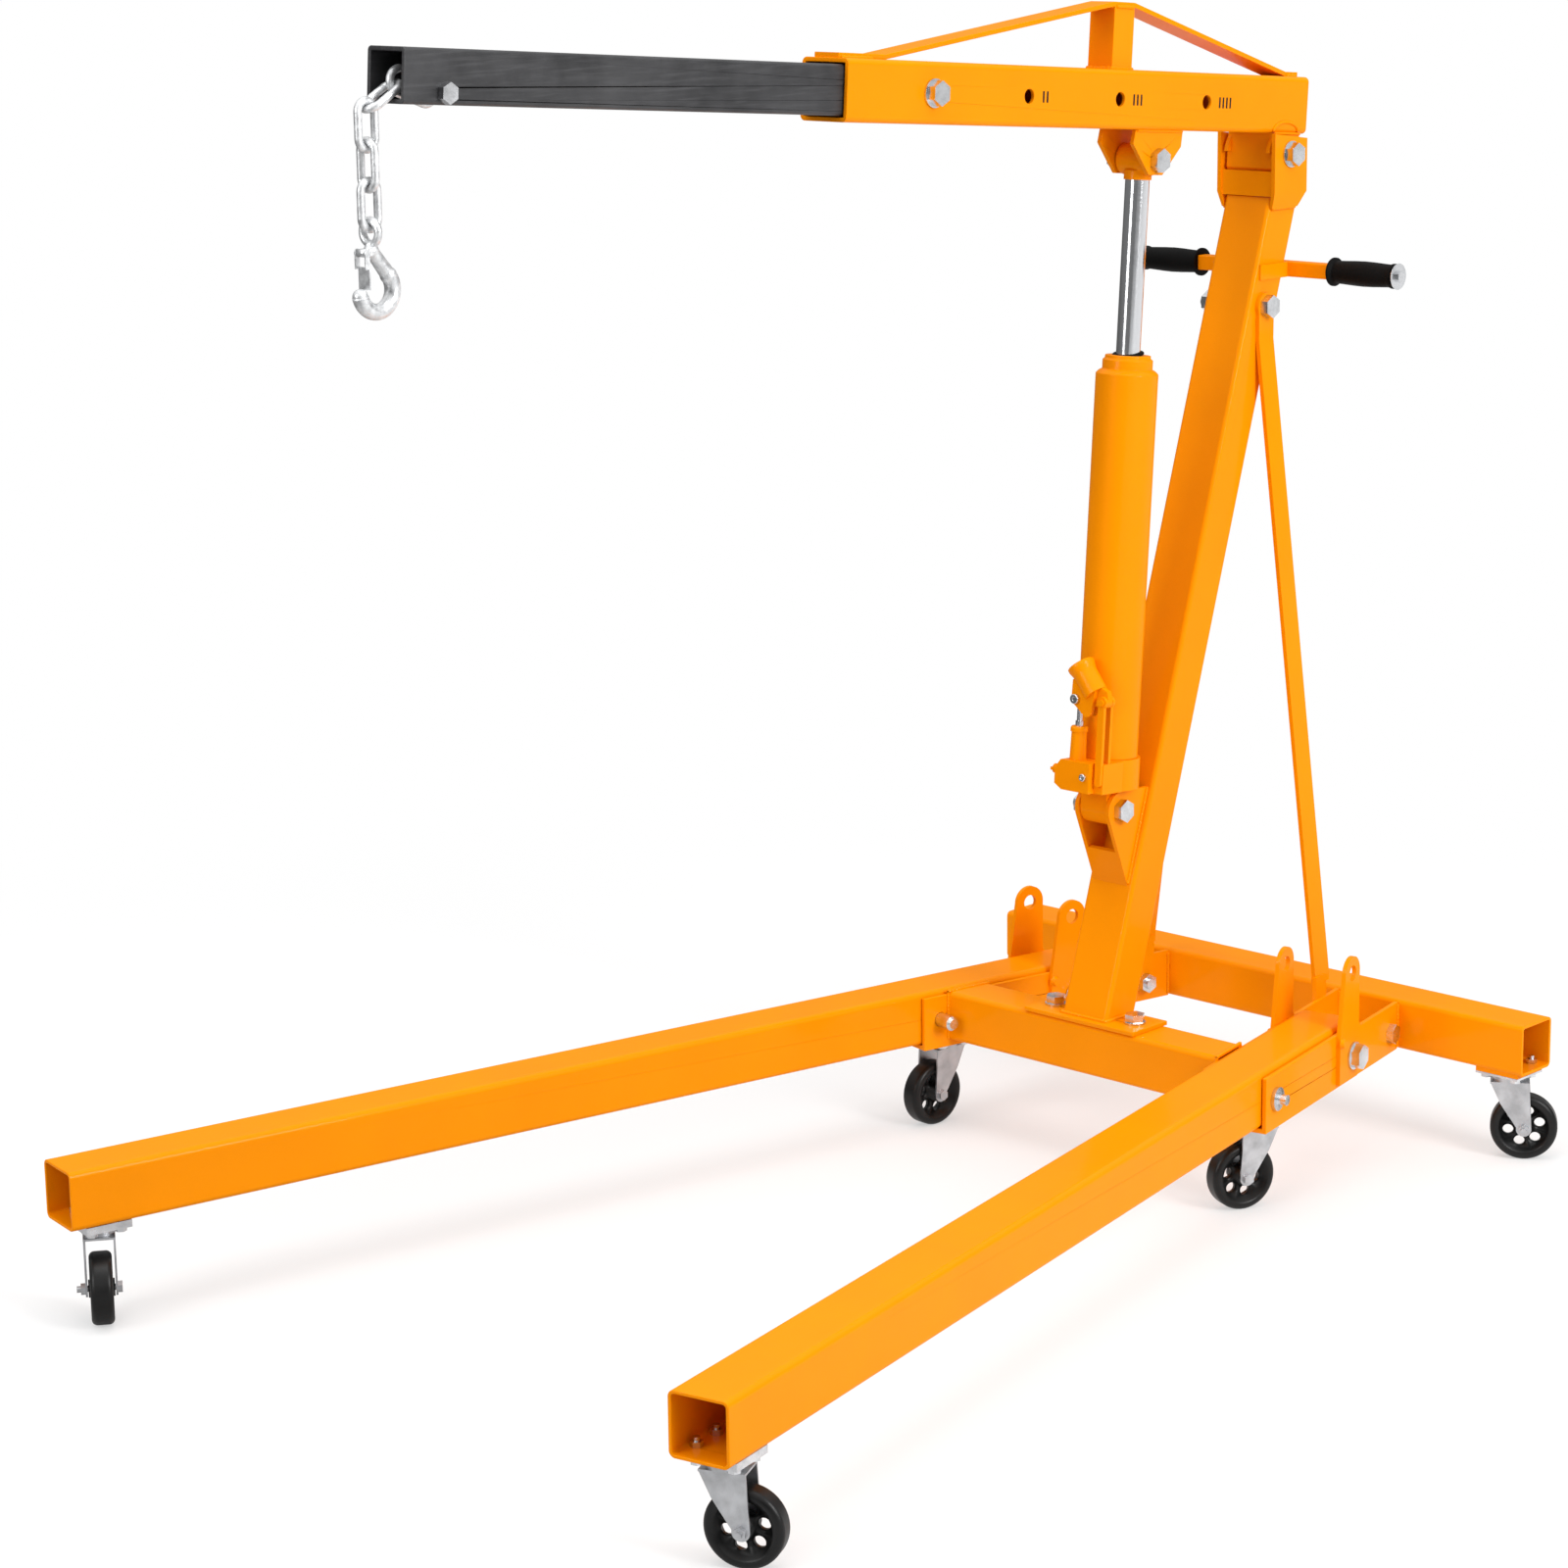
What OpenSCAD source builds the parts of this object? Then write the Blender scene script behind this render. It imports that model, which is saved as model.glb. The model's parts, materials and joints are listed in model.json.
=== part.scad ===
// Folding engine hoist crane, 2 t class, legs down and boom at its longest setting.
// Millimetres, +Z up, the crane faces -Y, X = 0 is its middle plane, Z = 0 is the floor.

/* [Base] */
// Height of the top plate of every caster
caster_h = 122; // [118:1:130]
// Side of the square leg tube
leg_w = 75; // [70:1:76]
// Wall of the leg tube
leg_wall = 4; // [3:0.5:5]
// Angle by which each leg points outwards
splay = 11.87; // [8:0.1:13]
// Distance from the fold pivot to the tip of the leg
leg_reach = 1528; // [1300:1:1540]
// Distance of each fold pivot from the middle plane
pivot_x = 231; // [229:1:234]
// Position of the fold pivots along the crane
pivot_y = 632; // [628:1:636]
// Side of the square crossbeam tubes
beam_w = 70; // [66:1:72]
// Length of the rear crossbeam
rear_beam_len = 900; // [840:5:920]
// Front face of the rear crossbeam
rear_beam_y = 788; // [784:1:792]
// Front face of the front crossbeam
front_beam_y = 408; // [400:1:412]

/* [Mast] */
// Width of the mast tube
mast_w = 76; // [72:1:78]
// Depth of the mast tube
mast_d = 60; // [56:1:62]
// Backward lean of the mast
mast_lean = 17.6; // [17:0.1:18]
// Height of the boom hinge above the floor
head_z = 1332; // [1328:1:1336]
// Height of the handle bar
handle_z = 1178; // [1160:1:1190]

/* [Boom] */
// Side of the outer boom tube
boom_w = 75; // [74:1:76]
// Length of the outer boom tube
boom_len = 910; // [900:1:920]
// Upward slope of the boom at rest
boom_slope = 4.27; // [4:0.1:4.6]
// Side of the inner boom tube
inner_w = 60; // [59:1:61]
// Length of inner boom outside the outer boom
inner_out = 680; // [660:1:690]
// Distance between the position holes
hole_pitch = 179; // [175:1:180]

/* [Ram] */
// Diameter of the ram cylinder
ram_d = 82; // [78:1:84]
// Diameter of the piston rod
rod_d = 32; // [30:1:34]

/* [Chain] */
// Thickness of the chain wire
wire = 9; // [8.5:0.5:9.5]
// Inside length of a chain link
pitch = 42; // [40:1:44]

/* [Caster] */
// Diameter of the caster wheels
wheel_d = 90; // [86:1:92]
// Width of the caster wheels
wheel_w = 28; // [26:1:29]

/* [Hidden] */
$fn = 48;

// fits
fit = 0.08;         // radial running clearance of every hinge bore
side_gap = 1.5;     // gap between a leg and its sleeve
plate = 6;          // thickness of the structural plates
over = 1;           // overshoot of cutting tools

// fasteners: shank diameter, width across flats, head height
M20 = [20, 30, 12.5];
M18 = [18, 27, 11.5];
M16 = [16, 24, 10];
M14 = [14, 21, 9];
M8 = [8, 13, 5.5];

// base heights and the leg's own frame: -y runs along the leg, x is outwards
leg_z = caster_h + plate + 0.5;
leg_top = leg_z + leg_w;
pivot_z = caster_h + 37;
rear_beam_z = caster_h + plate;
front_beam_z = caster_h + 9;
front_beam_top = front_beam_z + beam_w;
sleeve_in = leg_w / 2 + side_gap;
sleeve_out = sleeve_in + plate;
arm_out = sleeve_out + plate;
plate_top = leg_top - 7;
sleeve_front = 260;
sleeve_floor = 130;
sleeve_back = 30;
leg_back = 25;
lock_a = 232;
lock_z = pivot_z + 4;
stow_a = 115;
arm_a = 6;
arm_r = 23;
arm_hole_z = pivot_z + stow_a;
rear_bolt_a = -122;
rear_bolt_z = pivot_z - 2;
mid_caster_a = 195;
tip_caster_a = leg_reach - 50;
pin_d = 20;

// mast: its foot, its line and the hinges that it carries
foot_t = 6;
foot_half = 94;
bolt_x_pos = 68;
foot_top = front_beam_top + foot_t;
mast_y = front_beam_y + 42.5;
mast_depth = mast_d / cos(mast_lean);
mast_top = head_z - 56;
head_y = mast_y + (head_z - foot_top) * tan(mast_lean) - 20.4;
head_in = mast_w / 2 + 4;
head_front = head_y - 34;
head_back = head_y + 37;
ram_y = mast_y + 8.5;
ram_z = foot_top + 283;
ear_in = 23;
ear_out = 29;
brace_bolt_z = 1133;
brace_w = 32;
brace_t = 6;
bar_w = 20;
grip_in = 110;
grip_out = 210;

// boom, measured from its hinge: -y forward, z up across the tube
boom_axis = 64;
boom_back = 46;
boom_front = boom_len - boom_back;
boom_wall = 5.5;
boom_under = boom_axis - boom_w / 2;
clevis_y = 263;
clevis_z = -11.6;
clevis_in = 24;
first_hole = 153;
inner_front = boom_front + inner_out;
inner_wall = 5;
inner_back = boom_front - first_hole - 45;
inner_floor = boom_axis - inner_w / 2;
chain_bolt_y = inner_front - 58;
chain_bolt_z = boom_axis - 17;
lug_r = 33;
post_y = -332;
truss_h = 84;
truss_w = 40;
strap_t = 6;

// ram: its own frame has the lower bolt at the origin and z along the rod
clevis_world = [
    head_y - clevis_y * cos(boom_slope) + clevis_z * sin(boom_slope),
    head_z + clevis_y * sin(boom_slope) + clevis_z * cos(boom_slope)
];
ram_tilt = atan2(clevis_world[0] - ram_y, clevis_world[1] - ram_z);
ram_len = norm([clevis_world[0] - ram_y, clevis_world[1] - ram_z]);
base_low = 29;
base_top = 70;
tube_top = 576;
cap_top = 600;
cap_d = 60;
bore_d = ram_d - 18;
piston_z = 240;
lug_half = 22;
eye_r = 20;
pump_y = -60;
plunger_d = 11;
pump_top = 115;
pin_z = 152;
fulcrum_x = 42;
block_left = -25;
block_right = 33;
block_front = -76;
valve_d = 8;
valve_y = -64;
valve_z = 54;
socket_root = 33;
socket_lean = 39.5;
socket_low = 12;
socket_len = 57;
socket_d = 32;
socket_bore = 24;

// chain
gap = 0.1;
link_in = 14;
end_link_in = 17;
end_link_len = 56;
end_link_tilt = 16;
lip_tilt = 34;
eye_in_r = 8;
bowl_r = 23;
bowl_d = 18;
bowl_y = 5;
bowl_z = -70;
neck_z = -27;
hook_tip = 193;

// caster, in its own frame: swivel axis at x = 0, wheel trailing to +x
trail = 22;
axle_d = 8;
fork_in = wheel_w / 2 + 3;
fork_t = 2.5;
fork_top = caster_h - 12;
king_d = 12;
plate_l = 66;
bolt_pos = 23;

// swivel angle of each caster at rest, left and right: tip, mid, rear
tip_turn = [25, -36];
mid_turn = [-113, -95];
rear_turn = [33, -150];
tip_pos = [
    pivot_x + tip_caster_a * sin(splay),
    pivot_y - tip_caster_a * cos(splay)
];
mid_pos = [
    pivot_x + mid_caster_a * sin(splay),
    pivot_y - mid_caster_a * cos(splay)
];
rear_pos = [rear_beam_len / 2 - 42, rear_beam_y + beam_w / 2];

paint = [1, 0.62, 0.02];
zinc = [0.75, 0.76, 0.78];
dark_steel = [0.22, 0.22, 0.23];
black = [0.06, 0.06, 0.06];

// ---- shared shapes ----

// outline of a bar with rounded corners, made only of straight lines and true arcs
module rounded_rect(w, h, r) {
    square([w - 2 * r, h], center = true);
    square([w, h - 2 * r], center = true);
    for (i = [-1, 1], j = [-1, 1])
        translate([i * (w / 2 - r), j * (h / 2 - r)]) circle(r);
}

module tube_outline(w, h, wall, r) {
    difference() {
        rounded_rect(w, h, r);
        rounded_rect(w - 2 * wall, h - 2 * wall, max(r - wall, 1));
    }
}

// tube lying along Y from y0 to y1
module tube_y(w, h, wall, r, y0, y1) {
    translate([0, y1, 0]) rotate([90, 0, 0])
        linear_extrude(y1 - y0) tube_outline(w, h, wall, r);
}

// round bar or bore along X, from x0 to x1, at (y, z)
module rod_x(d, x0, x1, y = 0, z = 0) {
    translate([x0, y, z]) rotate([0, 90, 0]) cylinder(d = d, h = x1 - x0);
}

// hexagon along X with flats w apart
module hex_x(w, x0, x1) {
    translate([x0, 0, 0]) rotate([0, 90, 0]) cylinder(d = w / cos(30), h = x1 - x0, $fn = 6);
}

// bolt along X: head outside x1, nut outside x0, the shank left out where |x| < gap_x
module bolt_x(size, x0, x1, gap_x = 0, washer = 0) {
    end = x0 - washer - size[2] - 5;
    hex_x(size[1], x1 + washer, x1 + washer + size[2]);
    hex_x(size[1], x0 - washer - size[2], x0 - washer);
    if (washer > 0) {
        rod_x(size[1] + 8, x1, x1 + washer);
        rod_x(size[1] + 8, x0 - washer, x0);
    }
    if (gap_x == 0)
        rod_x(size[0], end, x1 + 1);
    else {
        rod_x(size[0], gap_x, x1 + 1);
        rod_x(size[0], end, -gap_x);
    }
}

module at_side(side) {
    mirror([side < 0 ? 1 : 0, 0, 0]) children();
}

module at_leg(side) {
    at_side(side) translate([pivot_x, pivot_y, 0]) rotate([0, 0, splay]) children();
}

module at_mast() {
    translate([0, mast_y, foot_top]) rotate([-mast_lean, 0, 0]) children();
}

module at_boom() {
    translate([0, head_y, head_z]) rotate([-boom_slope, 0, 0]) children();
}

module at_ram() {
    translate([0, ram_y, ram_z]) rotate([-ram_tilt, 0, 0]) children();
}

// plate standing in the YZ plane between x0 and x1, from a (y, z) outline
module side_plate(x0, x1) {
    translate([x0, 0, 0]) rotate([90, 0, 90]) linear_extrude(x1 - x0) children();
}

// ---- base frame ----

// distance from the middle plane to a line parallel to the leg and n outside its middle
function leg_line(y, n) = pivot_x - (y - pivot_y) * tan(splay) + n / cos(splay);

module front_crossbeam() {
    // its ends are cut to the slant of the sleeves
    y0 = front_beam_y;
    y1 = front_beam_y + beam_w;
    x0 = leg_line(y0, -sleeve_out);
    x1 = leg_line(y1, -sleeve_out);
    wall = 4;
    color(paint) difference() {
        intersection() {
            translate([0, y0 + beam_w / 2, front_beam_z + beam_w / 2])
                rotate([90, 0, 90]) translate([0, 0, -300])
                    linear_extrude(600) tube_outline(beam_w, beam_w, wall, 7);
            translate([0, 0, front_beam_z]) linear_extrude(beam_w)
                polygon([[-x0, y0], [x0, y0], [x1, y1], [-x1, y1]]);
        }
        for (x = [-bolt_x_pos, bolt_x_pos])
            translate([x, y0 + beam_w / 2, front_beam_top - 2 * wall])
                cylinder(d = M16[0] + 0.1, h = 3 * wall);
    }
}

module rear_crossbeam() {
    color(paint) difference() {
        union() {
            translate([0, rear_beam_y + beam_w / 2, rear_beam_z + beam_w / 2])
                rotate([90, 0, 90]) translate([0, 0, -rear_beam_len / 2])
                    linear_extrude(rear_beam_len) tube_outline(beam_w, beam_w, 4, 7);
            for (side = [-1, 1])
                translate([side * rear_pos[0] - plate_l / 2, rear_pos[1] - 30, caster_h])
                    cube([plate_l, 60, plate + 0.5]);
        }
        for (side = [-1, 1]) translate([side * rear_pos[0], rear_pos[1], 0]) plate_holes();
    }
}

module plate_holes() {
    for (i = [-1, 1], j = [-1, 1])
        translate([i * bolt_pos, j * (bolt_pos - 4), caster_h - 10])
            cylinder(d = M8[0] + 0.2, h = 30);
}

module sleeve(side) {
    color(paint) at_leg(side) difference() {
        union() {
            for (n = [-sleeve_out, sleeve_in])
                translate([n, -sleeve_front, caster_h])
                    cube([plate, sleeve_front + sleeve_back, plate_top - caster_h]);
            translate([-sleeve_out, -sleeve_front, caster_h])
                cube([2 * sleeve_out, sleeve_floor, plate]);
        }
        rod_x(M20[0] + 0.1, -60, 60, 0, pivot_z);
        rod_x(pin_d + 2 * fit, -60, 60, -lock_a, lock_z);
        translate([0, -mid_caster_a, 0]) plate_holes();
    }
}

module arm_outline() {
    polygon([
        [-42, rear_beam_z], [240, rear_beam_z], [240, plate_top - 2], [23, plate_top - 2],
        [17, plate_top + 5], [arm_r - arm_a, arm_hole_z], [-arm_r - arm_a, arm_hole_z],
        [-42, plate_top - 2]
    ]);
    translate([-arm_a, arm_hole_z]) circle(arm_r);
}

module arm_plates(side) {
    color(paint) difference() {
        at_leg(side) difference() {
            for (n = [-arm_out, sleeve_out]) side_plate(n, n + plate) arm_outline();
            rod_x(M20[0] + 0.1, -60, 60, 0, pivot_z);
            rod_x(pin_d + 1, -60, 60, -arm_a, arm_hole_z);
            rod_x(M16[0] + 0.1, -60, 60, -rear_bolt_a, rear_bolt_z);
        }
        translate([-500, rear_beam_y, 0]) cube([1000, 300, 400]);
    }
    // stop rivets at the foot of each arm
    color(paint) at_leg(side) for (s = [-1, 1])
        translate([s * arm_out, -37, pivot_z + 26]) rotate([0, s * 90, 0])
            cylinder(d1 = 15, d2 = 10, h = 5);
}

module leg_pivot_bolts() {
    color(zinc) for (side = [-1, 1]) at_leg(side) translate([0, 0, pivot_z])
        bolt_x(M20, -arm_out - 0.05, arm_out + 0.05, 0, 3);
}

module frame_bolts() {
    color(zinc) {
        for (side = [-1, 1]) at_leg(side)
            translate([0, -rear_bolt_a, rear_bolt_z])
                bolt_x(M16, -arm_out - brace_t - 0.1, arm_out + 0.05);
        for (x = [-bolt_x_pos, bolt_x_pos])
            translate([x, front_beam_y + beam_w / 2, foot_top + 0.05]) {
                cylinder(d = 30, h = 3);
                cylinder(d = M16[1] / cos(30), h = M16[2] + 3, $fn = 6);
                translate([0, 0, -16]) cylinder(d = M16[0], h = 17);
            }
    }
}

// ---- mast ----

function mast_line(z) = mast_y + (z - foot_top) * tan(mast_lean);

module mast_tube() {
    color(paint) difference() {
        intersection() {
            at_mast() translate([0, 0, -60]) linear_extrude(1300)
                tube_outline(mast_w, mast_d, 4, 6);
            translate([-60, 0, foot_top]) cube([120, 1000, mast_top - foot_top]);
        }
        rod_x(M18[0] + 0.1, -60, 60, mast_line(brace_bolt_z), brace_bolt_z);
    }
}

module mast_foot() {
    color(paint) difference() {
        translate([-foot_half, front_beam_y - 1, front_beam_top])
            cube([2 * foot_half, beam_w + 3, foot_t]);
        for (x = [-bolt_x_pos, bolt_x_pos])
            translate([x, front_beam_y + beam_w / 2, front_beam_top - over])
                cylinder(d = M16[0] + 0.1, h = foot_t + 2 * over);
    }
}

module mast_head() {
    // two joggled cheeks welded to the sides of the mast, and the bar across their front
    knee = head_z - 51;
    foot = knee - 20;
    color(paint) difference() {
        union() {
            for (s = [0, 1]) mirror([s, 0, 0]) {
                side_plate(head_in, head_in + plate) polygon([
                    [head_front, knee - 0.01], [head_back, knee - 0.01],
                    [head_back, head_z + 19], [head_front, head_z + 28]
                ]);
                hull() {
                    translate([head_in, head_front, knee - 0.02])
                        cube([plate, head_back - head_front, 0.02]);
                    translate([mast_w / 2, head_front + 3, foot])
                        cube([plate - 2, head_back - head_front - 15, 0.02]);
                }
            }
            translate([-head_in - 1, head_front + 2, head_z - 55])
                cube([2 * head_in + 2, plate, 33]);
        }
        rod_x(M18[0] + 0.1, -70, 70, head_y, head_z);
    }
}

module mast_bolts() {
    color(zinc) {
        translate([0, head_y, head_z])
            bolt_x(M18, -head_in - plate - 0.05, head_in + plate + 0.05, 0, 2.5);
        translate([0, ram_y, ram_z]) bolt_x(M18, -ear_out - 0.05, ear_out + 0.05);
        translate([0, mast_line(brace_bolt_z), brace_bolt_z])
            bolt_x(M18, -mast_w / 2 - brace_t - 0.1, mast_w / 2 + brace_t + 0.1);
    }
}

module ear_outline() {
    translate([ram_y, ram_z]) circle(25);
    polygon([
        [ram_y - 23, ram_z - 9.8], [ram_y + 16, ram_z - 108], [ram_y + 90, ram_z - 108],
        [ram_y + 90, ram_z + 20], [ram_y, ram_z + 25]
    ]);
}

module ram_ears() {
    color(paint) difference() {
        union() {
            for (x = [-ear_out, ear_in]) side_plate(x, x + plate) ear_outline();
            // web that closes the lower slope between the ears
            side_plate(-ear_in - 1, ear_in + 1) polygon([
                [ram_y - 4, ram_z - 58], [ram_y + 16, ram_z - 108],
                [ram_y + 60, ram_z - 108], [ram_y + 2, ram_z - 56]
            ]);
        }
        rod_x(M18[0] + 0.1, -60, 60, ram_y, ram_z);
        // the ears end at the front face of the mast
        at_mast() translate([-60, -mast_d / 2, 0]) cube([120, 200, 600]);
    }
}

module brace(side) {
    // flat strap, upright at both ends, with one bend near the mast and one at the base
    foot_n = arm_out + 0.05 + brace_t / 2;
    foot_x = pivot_x + rear_bolt_a * sin(splay) - foot_n * cos(splay);
    foot_y = pivot_y - rear_bolt_a * cos(splay) - foot_n * sin(splay);
    top_x = mast_w / 2 + 0.05;
    top_y = mast_line(brace_bolt_z);
    bend_top = brace_bolt_z - 44;
    bend_low = plate_top + 30;
    run_x = foot_x - brace_t / 2 - 1.5;
    color(paint) at_side(side) {
        difference() {
            union() {
                rod_x(brace_w + 4, top_x, top_x + brace_t, top_y, brace_bolt_z);
                translate([top_x, top_y - brace_w / 2, bend_top])
                    cube([brace_t, brace_w, brace_bolt_z - bend_top]);
                translate([0, top_y + brace_w / 2, 0]) rotate([90, 0, 0])
                    linear_extrude(brace_w) polygon([
                        [top_x, bend_top + 0.01], [top_x + brace_t, bend_top + 0.01],
                        [run_x + brace_t, bend_low], [run_x + brace_t, bend_low - 12],
                        [run_x, bend_low - 12], [run_x, bend_low]
                    ]);
            }
            rod_x(M18[0] + 0.1, -60, 60, top_y, brace_bolt_z);
        }
        // foot of the strap, turned to lie on the arm plate
        difference() {
            translate([foot_x, foot_y, 0]) rotate([0, 0, splay]) union() {
                translate([-brace_t / 2, -brace_w / 2, rear_bolt_z])
                    cube([brace_t, brace_w, bend_low - 2 - rear_bolt_z]);
                rod_x(brace_w, -brace_t / 2, brace_t / 2, 0, rear_bolt_z);
            }
            translate([foot_x, foot_y, 0]) rotate([0, 0, splay])
                rod_x(M16[0] + 0.1, -20, 20, 0, rear_bolt_z);
        }
    }
}

bar_y = mast_line(handle_z + bar_w / 2) + mast_depth / 2 + bar_w / 2 + 0.05;

module handle_bar() {
    // square bar behind the mast, with a strap round the sides of the mast
    strap_front = mast_line(handle_z) - mast_depth / 2 + 7;
    color(paint) {
        translate([0, bar_y, handle_z]) rotate([90, 0, 90]) translate([0, 0, -grip_out + 4])
            linear_extrude(2 * grip_out - 8) rounded_rect(bar_w, bar_w, 2);
        for (s = [0, 1]) mirror([s, 0, 0])
            translate([mast_w / 2 + 0.05, strap_front, handle_z - bar_w / 2])
                cube([3, bar_y - strap_front, bar_w]);
    }
}

module handle_grips() {
    len = grip_out - grip_in;
    color(black) for (s = [0, 1]) mirror([s, 0, 0])
        translate([grip_in, bar_y, handle_z]) rotate([0, 90, 0]) difference() {
            rotate_extrude() polygon([
                [0, 0], [19, 0], [19, 3], [15, 6], [15.6, 20], [16.4, 35], [16.8, len / 2],
                [16.4, len - 35], [15.6, len - 20], [15, len - 8], [16.5, len - 4],
                [16.5, len - 0.05], [0, len - 0.05]
            ]);
            translate([0, 0, -over]) linear_extrude(len - 4 + over)
                rounded_rect(bar_w + 0.05, bar_w + 0.05, 2);
        }
}

module grip_ends() {
    // dished washer and screw that hold each grip
    color(zinc) for (s = [0, 1]) mirror([s, 0, 0])
        translate([grip_out, bar_y, handle_z]) rotate([0, 90, 0]) {
            cylinder(d1 = 30, d2 = 35, h = 4);
            translate([0, 0, 4]) cylinder(d = 13 / cos(30), h = 5, $fn = 6);
        }
}

// ---- casters ----

// fixed top plate with its ball race and four bolts; grip is what the bolts hold above it
module caster_plate(grip, nuts = true) {
    difference() {
        union() {
            translate([-plate_l / 2, -30, caster_h - 3]) cube([plate_l, 60, 3]);
            translate([0, 0, fork_top + 5])
                cylinder(d1 = 44, d2 = 48, h = caster_h - 3 - fork_top - 5);
        }
        translate([0, 0, fork_top - 10]) cylinder(d = king_d + 2 * fit, h = 19);
        plate_holes();
    }
    for (i = [-1, 1], j = [-1, 1]) translate([i * bolt_pos, j * (bolt_pos - 4), 0]) {
        translate([0, 0, caster_h - 3.05 - M8[2]])
            cylinder(d = M8[1] / cos(30), h = M8[2], $fn = 6);
        translate([0, 0, caster_h - 5]) cylinder(d = M8[0], h = 5 + grip + (nuts ? 11 : -0.2));
        if (nuts) difference() {
            translate([0, 0, caster_h + grip + 0.05]) rotate([0, 0, 30])
                cylinder(d = M8[1] / cos(30), h = 6.5, $fn = 6);
            translate([0, 0, caster_h + grip - 1]) cylinder(d = M8[0] - 1, h = 10);
        }
    }
}

module base_caster_plates() {
    color(zinc) for (side = [-1, 1]) {
        at_leg(side) translate([0, -mid_caster_a, 0]) caster_plate(plate, false);
        translate([side * rear_pos[0], rear_pos[1], 0]) caster_plate(plate + 4);
    }
}

module leg_plate(side) {
    color(zinc) at_leg(side) translate([0, -tip_caster_a, 0]) caster_plate(plate + 0.5 + leg_wall);
    color(paint) at_leg(side) translate([0, -tip_caster_a, 0]) difference() {
        translate([-plate_l / 2, -30, caster_h]) cube([plate_l, 60, plate + 0.5]);
        plate_holes();
    }
}

// one caster: its side, the place of its swivel and the turns of left and right
module at_caster(side, pos, turn) {
    translate([side * pos[0], pos[1], 0]) rotate([0, 0, turn[side > 0 ? 0 : 1]]) children();
}

module fork() {
    axle_z = wheel_d / 2;
    cheek_out = fork_in + fork_t;
    color(zinc) {
        difference() {
            union() {
                // crown and its race
                translate([-24, -cheek_out, fork_top - fork_t]) cube([52, 2 * cheek_out, fork_t]);
                translate([0, 0, fork_top - 0.01]) cylinder(d = 42, h = 4.5);
                for (s = [-1, 1]) translate([0, s * (fork_in + fork_t / 2), 0])
                    rotate([90, 0, 0]) translate([0, 0, -fork_t / 2]) linear_extrude(fork_t) {
                        polygon([
                            [-24, fork_top], [28, fork_top], [trail + 10, axle_z + 2],
                            [trail - 10, axle_z + 2], [-10, fork_top - 30]
                        ]);
                        translate([trail, axle_z]) circle(10.2);
                    }
            }
            translate([trail, 50, axle_z]) rotate([90, 0, 0]) cylinder(d = axle_d + 0.1, h = 100);
        }
        translate([0, 0, fork_top - 4]) cylinder(d = king_d, h = 12);
        // axle bolt and nut
        translate([trail, 0, axle_z]) rotate([0, 0, 90])
            bolt_x(M8, -cheek_out - 0.05, cheek_out + 0.05);
    }
}

module wheel() {
    r = wheel_d / 2;
    h = wheel_w / 2;
    color(black) translate([trail, 0, r]) rotate([90, 0, 0]) difference() {
        rotate_extrude($fn = 64) {
            // rounded tread, rim, web and hub
            difference() {
                translate([r - 12, -h]) square([12, 2 * h]);
                for (s = [-1, 1]) difference() {
                    translate([r - 7, s > 0 ? h - 7 : -h - over]) square([7 + over, 7 + over]);
                    translate([r - 7, s * (h - 7)]) circle(7);
                }
            }
            translate([8, -4]) square([r - 16, 8]);
            translate([0, -h - 2]) square([11, 2 * h + 4]);
        }
        translate([0, 0, -40]) cylinder(d = axle_d + 2 * fit, h = 80);
        for (i = [0:5]) rotate([0, 0, i * 60 + 15]) translate([21.5, 0, -20])
            cylinder(d = 14.5, h = 40);
    }
}

// ---- legs ----

module leg(side) {
    mid = leg_z + leg_w / 2;
    color(paint) at_leg(side) difference() {
        translate([0, 0, mid]) tube_y(leg_w, leg_w, leg_wall, 8, -leg_reach, leg_back);
        rod_x(M20[0] + 2 * fit, -60, 60, 0, pivot_z);
        rod_x(pin_d + 2 * fit, -60, 60, -lock_a, lock_z);
        rod_x(pin_d + 1, -60, 60, -stow_a, pivot_z - arm_a);
        // way out for the lock pin, under the leg and inside the sleeve
        translate([-60, -lock_a - pin_d / 2 - fit, leg_z - over])
            cube([120, pin_d + 2 * fit + 2.6, lock_z - leg_z + over]);
        translate([0, -tip_caster_a, 0]) plate_holes();
    }
}

module lock_pin(side) {
    color(zinc) at_leg(side) translate([0, -lock_a, lock_z]) {
        rod_x(pin_d, -sleeve_out - 26, sleeve_out + 1);
        translate([-sleeve_out - 30, 0, 0]) rotate([0, 90, 0])
            cylinder(d1 = pin_d - 6, d2 = pin_d, h = 4);
        rod_x(31, sleeve_out + 0.2, sleeve_out + 5.5);
        rod_x(14, sleeve_out + 5, sleeve_out + 17);
    }
}

// ---- boom ----

module boom_tube() {
    color(paint) at_boom() difference() {
        translate([0, 0, boom_axis])
            tube_y(boom_w, boom_w, boom_wall, 7, -boom_front, boom_back);
        for (i = [0:3])
            rod_x(M18[0] + 0.1, -60, 60, -boom_front + first_hole + i * hole_pitch, boom_axis);
    }
}

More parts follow.
